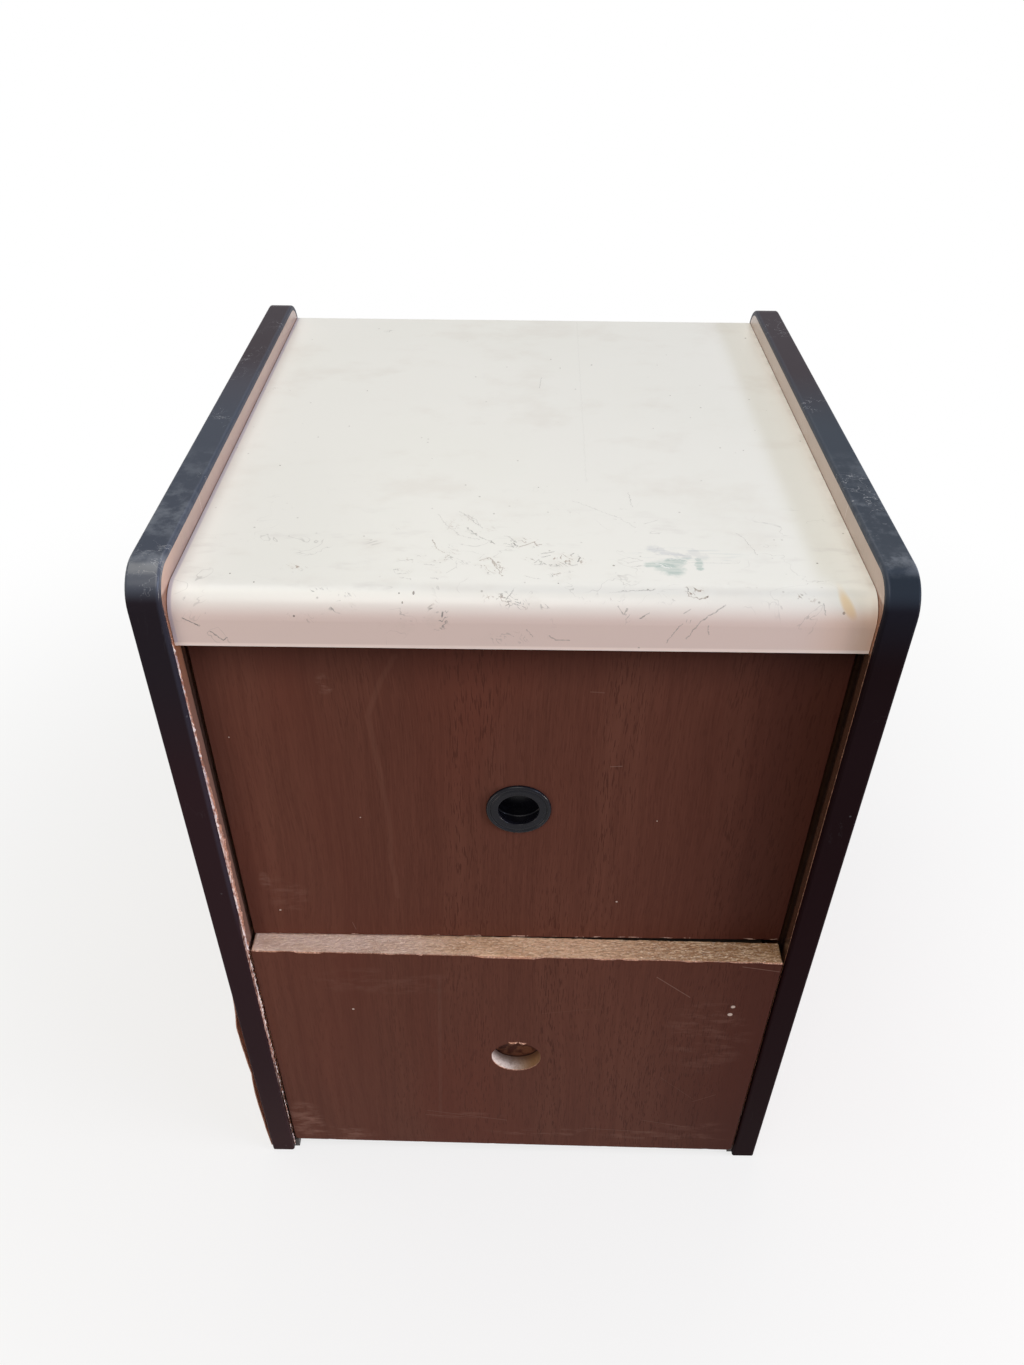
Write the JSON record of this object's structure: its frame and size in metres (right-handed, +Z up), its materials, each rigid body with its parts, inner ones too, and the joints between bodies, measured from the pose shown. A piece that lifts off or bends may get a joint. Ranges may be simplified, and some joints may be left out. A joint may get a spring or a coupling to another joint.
{
  "type": "two-drawer filing cabinet",
  "caption": "Low two-drawer filing cabinet with a cream worktop let in between raised brown sides, black edge bands, a round cup pull and an empty pull hole.",
  "frame": {"origin": "on the floor, under the middle of the cabinet's sides, front and back", "axes": "+Z up, -Y towards the user, the way the drawers open; +X to the user's right"},
  "size_m": [0.433, 0.4405, 0.61],
  "materials": {
    "chipboard": "raw chipboard with sawn edges",
    "brown_laminate": "satin brown wood-grain laminate",
    "front_laminate": "satin brown wood-grain laminate",
    "top_laminate": "satin cream laminate",
    "edge_band": "satin black plastic",
    "cup_pull": "satin black plastic",
    "glide": "dull dark plastic",
    "box_board": "pale melamine-faced chipboard",
    "hardboard": "brown hardboard",
    "dowel": "beech",
    "runner_steel": "cream stove enamel",
    "fastener_steel": "zinc plated steel",
    "rail_steel": "bright steel strip",
    "nylon": "off-white nylon"
  },
  "bodies": {
    "cabinet": {"back_panel": "hardboard", "back_panel_pins": "fastener_steel", "bottom_panel": "chipboard", "cabinet_roller_axles": "fastener_steel", "cabinet_runner_screws": "fastener_steel", "carcass_dowels": "dowel", "front_left_glide": "glide", "front_right_glide": "glide", "glide_nails": "fastener_steel", "left_edge_band": "edge_band", "left_inner_laminate": "brown_laminate", "left_outer_laminate": "brown_laminate", "left_side_core": "chipboard", "lower_left_cabinet_runner": "runner_steel", "lower_right_cabinet_runner": "runner_steel", "middle_rail": "chipboard", "rear_left_glide": "glide", "rear_right_glide": "glide", "right_edge_band": "edge_band", "right_inner_laminate": "brown_laminate", "right_outer_laminate": "brown_laminate", "right_side_core": "chipboard", "top_core": "chipboard", "top_front_strip": "chipboard", "top_laminate": "top_laminate", "upper_left_cabinet_runner": "runner_steel", "upper_right_cabinet_runner": "runner_steel"},
    "upper_drawer": {"upper_box_back": "box_board", "upper_box_bottom": "hardboard", "upper_box_front": "box_board", "upper_box_left_side": "box_board", "upper_box_right_side": "box_board", "upper_cup_pull": "cup_pull", "upper_drawer_axles": "fastener_steel", "upper_drawer_screws": "fastener_steel", "upper_file_rails": "rail_steel", "upper_front_core": "chipboard", "upper_front_laminate": "front_laminate", "upper_left_drawer_runner": "runner_steel", "upper_right_drawer_runner": "runner_steel"},
    "lower_drawer": {"lower_box_back": "box_board", "lower_box_bottom": "hardboard", "lower_box_front": "box_board", "lower_box_left_side": "box_board", "lower_box_right_side": "box_board", "lower_drawer_axles": "fastener_steel", "lower_drawer_screws": "fastener_steel", "lower_file_rails": "rail_steel", "lower_front_core": "chipboard", "lower_front_laminate": "front_laminate", "lower_left_drawer_runner": "runner_steel", "lower_right_drawer_runner": "runner_steel"},
    "lower_left_cabinet_roller": {"lower_left_cabinet_roller": "nylon"},
    "lower_left_drawer_roller": {"lower_left_drawer_roller": "nylon"},
    "lower_right_cabinet_roller": {"lower_right_cabinet_roller": "nylon"},
    "lower_right_drawer_roller": {"lower_right_drawer_roller": "nylon"},
    "upper_left_cabinet_roller": {"upper_left_cabinet_roller": "nylon"},
    "upper_left_drawer_roller": {"upper_left_drawer_roller": "nylon"},
    "upper_right_cabinet_roller": {"upper_right_cabinet_roller": "nylon"},
    "upper_right_drawer_roller": {"upper_right_drawer_roller": "nylon"}
  },
  "joints": [
    {"name": "upper_drawer_slide", "type": "slide", "parent": "cabinet", "child": "upper_drawer", "axis": [0, -1, 0], "range_m": [0, 0.3]},
    {"name": "lower_drawer_slide", "type": "slide", "parent": "cabinet", "child": "lower_drawer", "axis": [0, -1, 0], "range_m": [-0.0144, 0.2856]},
    {"name": "lower_left_cabinet_roller_spin", "type": "hinge", "parent": "cabinet", "child": "lower_left_cabinet_roller", "pos_m": [-0.18925, -0.166, 0.0412], "axis": [1, 0, 0], "continuous": true},
    {"name": "lower_left_drawer_roller_spin", "type": "hinge", "parent": "lower_drawer", "child": "lower_left_drawer_roller", "pos_m": [-0.18925, 0.1706, 0.0405], "axis": [1, 0, 0], "continuous": true},
    {"name": "lower_right_cabinet_roller_spin", "type": "hinge", "parent": "cabinet", "child": "lower_right_cabinet_roller", "pos_m": [0.18925, -0.166, 0.0412], "axis": [1, 0, 0], "continuous": true},
    {"name": "lower_right_drawer_roller_spin", "type": "hinge", "parent": "lower_drawer", "child": "lower_right_drawer_roller", "pos_m": [0.18925, 0.1706, 0.0405], "axis": [1, 0, 0], "continuous": true},
    {"name": "upper_left_cabinet_roller_spin", "type": "hinge", "parent": "cabinet", "child": "upper_left_cabinet_roller", "pos_m": [-0.18925, -0.166, 0.3037], "axis": [1, 0, 0], "continuous": true},
    {"name": "upper_left_drawer_roller_spin", "type": "hinge", "parent": "upper_drawer", "child": "upper_left_drawer_roller", "pos_m": [-0.18925, 0.185, 0.303], "axis": [1, 0, 0], "continuous": true},
    {"name": "upper_right_cabinet_roller_spin", "type": "hinge", "parent": "cabinet", "child": "upper_right_cabinet_roller", "pos_m": [0.18925, -0.166, 0.3037], "axis": [1, 0, 0], "continuous": true},
    {"name": "upper_right_drawer_roller_spin", "type": "hinge", "parent": "upper_drawer", "child": "upper_right_drawer_roller", "pos_m": [0.18925, 0.185, 0.303], "axis": [1, 0, 0], "continuous": true}
  ],
  "couplings": [
    {"joint": "lower_left_cabinet_roller_spin", "follows": "lower_drawer_slide", "rad_per_m": 100},
    {"joint": "lower_left_drawer_roller_spin", "follows": "lower_drawer_slide", "rad_per_m": 100},
    {"joint": "lower_right_cabinet_roller_spin", "follows": "lower_drawer_slide", "rad_per_m": 100},
    {"joint": "lower_right_drawer_roller_spin", "follows": "lower_drawer_slide", "rad_per_m": 100},
    {"joint": "upper_left_cabinet_roller_spin", "follows": "upper_drawer_slide", "rad_per_m": 100},
    {"joint": "upper_left_drawer_roller_spin", "follows": "upper_drawer_slide", "rad_per_m": 100},
    {"joint": "upper_right_cabinet_roller_spin", "follows": "upper_drawer_slide", "rad_per_m": 100},
    {"joint": "upper_right_drawer_roller_spin", "follows": "upper_drawer_slide", "rad_per_m": 100}
  ]
}
